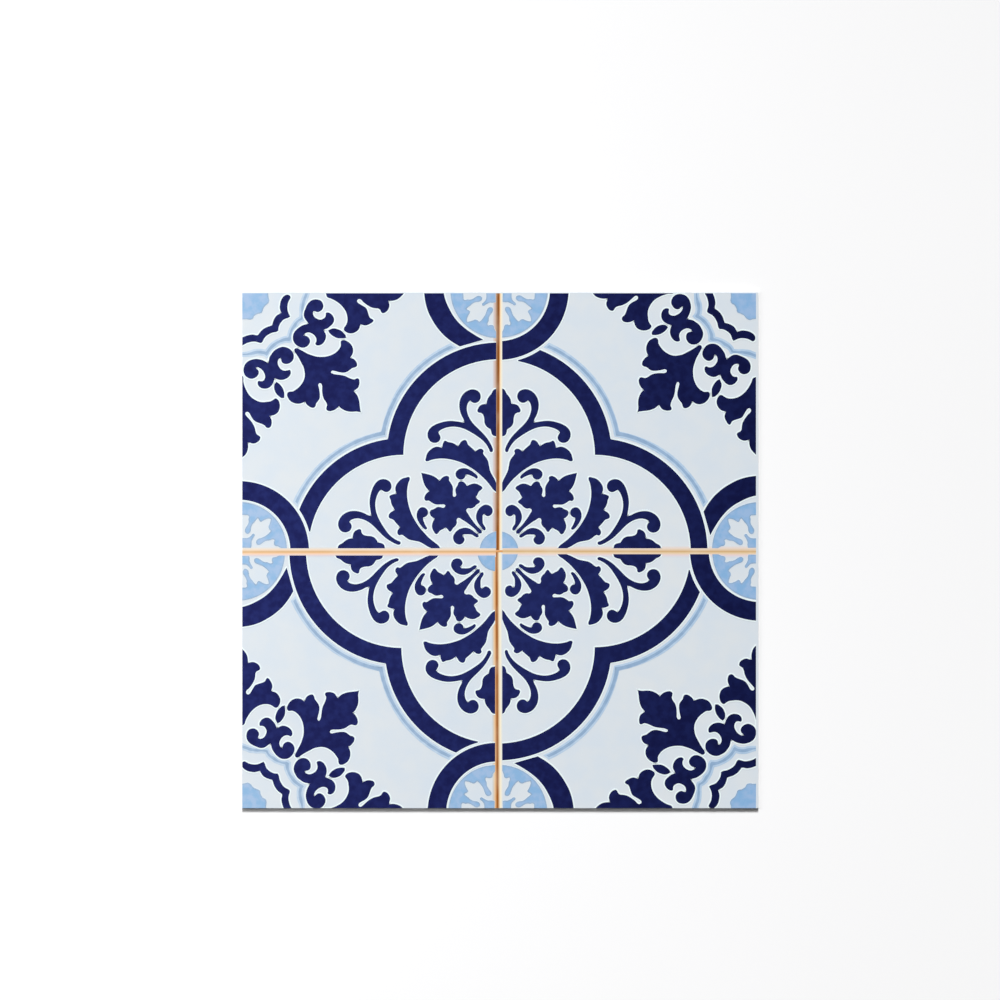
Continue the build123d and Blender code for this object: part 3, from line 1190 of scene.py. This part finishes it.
class VINYL_TILE_OT_print_joints(bpy.types.Operator):
    """Print the joints that part the cells"""

    bl_idname = "vinyl_tile.print_joints"
    bl_label = "Print the Joints"

    def execute(self, context):
        sizes = context.scene.print_sizes
        colours = context.scene.print_colours
        for name, border, turn, start, end in JOINTS:
            ink = name.replace("joint", "grout") + "_print"
            material = joint_finish(ink, joint_stops(name, colours), border, colours)
            shape = joint_strip(start, end, turn)
            lay_on_face(shape, sizes, sizes.level_joint if turn else sizes.upright_joint)
            make_piece(shape, name, material)
        return {"FINISHED"}


def joint_stops(name, colours):
    """The stops of a joint's colour ramp."""
    stops = []
    for place, *shade in JOINT_SHADES[name]:
        named = len(shade) == 1
        stops.append((place, getattr(colours, *shade) if named else screen(*shade)))
    return stops


def joint_strip(start, end, turn):
    """A flat strip between two ends, turned about the middle of the print, that knows where its width is."""
    shape = bmesh.new()
    across = shape.verts.layers.float.new(ACROSS)
    bmesh.ops.create_grid(shape, x_segments=1, y_segments=JOINT_STEPS, size=1.0)
    for vert in shape.verts:
        side = vert.co.x
        vert[across] = (side + 1.0) / 2.0
        middle, along, width = Vector(start).lerp(Vector(end), (vert.co.y + 1.0) / 2.0)
        vert.co = (middle + side * width / 2.0, along, 0.0)
    about = Matrix.Rotation(math.radians(turn), 3, "Z")
    bmesh.ops.rotate(shape, cent=(0.0, 0.0, 0.0), matrix=about, verts=shape.verts)
    return shape


class VINYL_TILE_OT_set_stage(bpy.types.Operator):
    """Set the floor, the lights and the camera"""

    bl_idname = "vinyl_tile.set_stage"
    bl_label = "Set the Stage"

    def execute(self, context):
        scene = context.scene
        studio = scene.studio_sizes
        set_floor(studio)
        set_lights(scene, studio)
        set_camera(scene, studio)
        return {"FINISHED"}


def set_floor(studio):
    """A plain pale floor."""
    material, place = new_finish("floor")
    shade = scaled(studio.floor, FLOOR_SHADE)
    inputs = {
        "Base Color": mixed(mottle(place, FLOOR_CLOUD), shade, studio.floor),
        "Roughness": FLOOR_ROUGHNESS,
        "Specular IOR Level": FLOOR_SHEEN,
    }
    close(place, inputs)
    shape = bmesh.new()
    bmesh.ops.create_grid(shape, x_segments=1, y_segments=1, size=studio.floor_side / 2)
    floor = new_object(shape, "floor", material)


def set_lights(scene, studio):
    """Even light from all round, a soft far light beyond the top edge and a softbox close by on the left."""
    sky = bpy.data.worlds.new("studio")
    sky.use_nodes = True
    backdrop = sky.node_tree.nodes["Background"]
    backdrop.inputs["Color"].default_value = (1.0, 1.0, 1.0, 1.0)
    backdrop.inputs["Strength"].default_value = studio.sky_power
    scene.world = sky
    sun = bpy.data.lights.new("sun", "SUN")
    sun.angle = SUN_WIDTH
    sun.energy = studio.sun_power
    add_lamp(sun, Vector((0.0, math.cos(SUN_RISE), math.sin(SUN_RISE))), False)
    key = bpy.data.lights.new("key", "AREA")
    key.shape = "SQUARE"
    key.size = KEY_SIDE
    key.energy = studio.key_power
    add_lamp(key, Vector(KEY_PLACE), True)


def add_lamp(light, place, gleams):
    """Puts a light at a place, turned to the middle of the tile: unseen, and it may leave no gleam."""
    lamp = bpy.data.objects.new(light.name, light)
    lamp.location = place
    lamp.rotation_euler = (-place).to_track_quat("-Z", "Y").to_euler()
    lamp.visible_camera = False
    lamp.visible_glossy = gleams
    bpy.context.scene.collection.objects.link(lamp)


def set_camera(scene, studio):
    """A camera straight above, which frames the tile as the photograph does."""
    pixel = SIDE / TILE_PIXELS
    across = (PICTURE_PIXELS / 2 - TILE_CENTRE_PIXELS[0]) * pixel
    along = (TILE_CENTRE_PIXELS[1] - PICTURE_PIXELS / 2) * pixel
    lens = bpy.data.cameras.new("camera")
    lens.sensor_width = SENSOR
    lens.lens = SENSOR * studio.camera_height / (PICTURE_PIXELS * pixel)
    lens.clip_end = SIGHT
    camera = bpy.data.objects.new("camera", lens)
    camera.location = (across, along, FACE + studio.camera_height)
    scene.collection.objects.link(camera)
    scene.camera = camera
    scene.view_settings.view_transform = "Standard"


OPERATORS = (
    VINYL_TILE_OT_dress_sheet,
    VINYL_TILE_OT_print_joints,
    VINYL_TILE_OT_print_medallions,
    VINYL_TILE_OT_print_corner_fans,
    VINYL_TILE_OT_print_pale_line,
    VINYL_TILE_OT_print_strap,
    VINYL_TILE_OT_print_inner_sprays,
    VINYL_TILE_OT_print_corner_sprays,
    VINYL_TILE_OT_set_stage,
)

# The property groups, by their names on the scene
GROUPS = {"print_sizes": PrintSizes, "print_colours": PrintColours, "studio_sizes": StudioSizes}


class VINYL_TILE_PT_sidebar(bpy.types.Panel):
    """Steps, sizes and colours of the vinyl tile"""

    bl_idname = "VINYL_TILE_PT_sidebar"
    bl_label = "Vinyl Tile"
    bl_space_type = "VIEW_3D"
    bl_region_type = "UI"
    bl_category = "Vinyl Tile"

    def draw(self, context):
        layout = self.layout
        for operator in OPERATORS:
            layout.operator(operator.bl_idname)
        for name in GROUPS:
            group = getattr(context.scene, name)
            column = layout.column(heading=group.bl_rna.description)
            for size in group.__annotations__:
                column.prop(group, size)


def register():
    """Registers the classes and puts the property groups on the scene."""
    for name, group in GROUPS.items():
        bpy.utils.register_class(group)
        setattr(bpy.types.Scene, name, PointerProperty(type=group))
    for operator in OPERATORS:
        bpy.utils.register_class(operator)
    bpy.utils.register_class(VINYL_TILE_PT_sidebar)


def unregister():
    """Undoes what register does."""
    bpy.utils.unregister_class(VINYL_TILE_PT_sidebar)
    for operator in reversed(OPERATORS):
        bpy.utils.unregister_class(operator)
    for name, group in reversed(GROUPS.items()):
        delattr(bpy.types.Scene, name)
        bpy.utils.unregister_class(group)


def main():
    """Runs every step in order."""
    register()
    bpy.ops.vinyl_tile.dress_sheet()
    bpy.ops.vinyl_tile.print_joints()
    bpy.ops.vinyl_tile.print_medallions()
    bpy.ops.vinyl_tile.print_corner_fans()
    bpy.ops.vinyl_tile.print_pale_line()
    bpy.ops.vinyl_tile.print_strap()
    bpy.ops.vinyl_tile.print_inner_sprays()
    bpy.ops.vinyl_tile.print_corner_sprays()
    bpy.ops.vinyl_tile.set_stage()
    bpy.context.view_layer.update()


if __name__ == "__main__":
    main()
